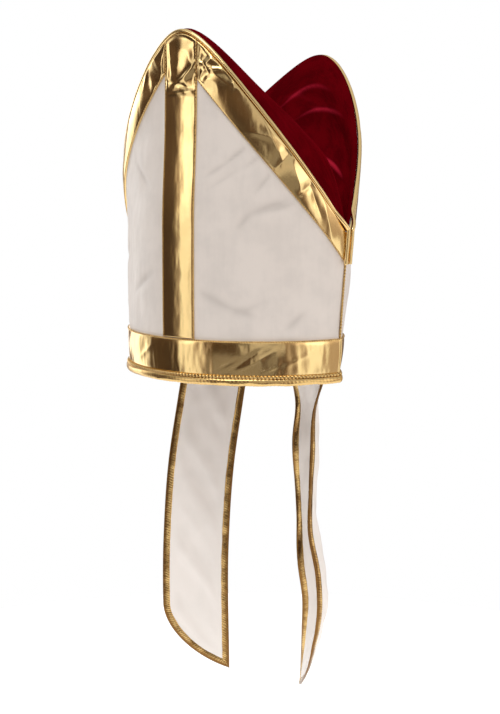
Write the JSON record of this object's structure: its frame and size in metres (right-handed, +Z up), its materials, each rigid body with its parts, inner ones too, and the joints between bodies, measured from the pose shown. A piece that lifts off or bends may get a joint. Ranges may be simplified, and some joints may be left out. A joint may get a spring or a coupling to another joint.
{
  "type": "bishop mitre",
  "caption": "Cloth bishop's mitre: white satin panels rising to two horns, gold lame bands and piping, a crimson velvet crown and two hanging lappets.",
  "frame": {"origin": "middle of the head opening, level with the rim's lower edge", "axes": "+Z up towards the horns, -Y out of the front panel, +X to the front's left-hand side as worn, the right as seen from the front"},
  "size_m": [0.2494, 0.2287, 0.6275],
  "materials": {
    "white_satin": "soft satin sheen",
    "crimson_velvet": "velvet pile",
    "gold_lame": "metallic gold foil on cloth"
  },
  "bodies": {
    "root": {"front_panel": "white_satin", "back_panel": "white_satin", "left_lappet": "white_satin", "right_lappet": "white_satin", "front_crown": "crimson_velvet", "back_crown": "crimson_velvet", "front_centre_band": "gold_lame", "back_centre_band": "gold_lame", "front_left_edge_band": "gold_lame", "front_right_edge_band": "gold_lame", "back_left_edge_band": "gold_lame", "back_right_edge_band": "gold_lame", "front_rim_band": "gold_lame", "back_rim_band": "gold_lame", "front_rim_binding": "gold_lame", "back_rim_binding": "gold_lame", "front_edge_piping": "gold_lame", "back_edge_piping": "gold_lame", "left_seam_cord": "gold_lame", "right_seam_cord": "gold_lame", "left_lappet_binding": "gold_lame", "right_lappet_binding": "gold_lame"}
  },
  "joints": []
}
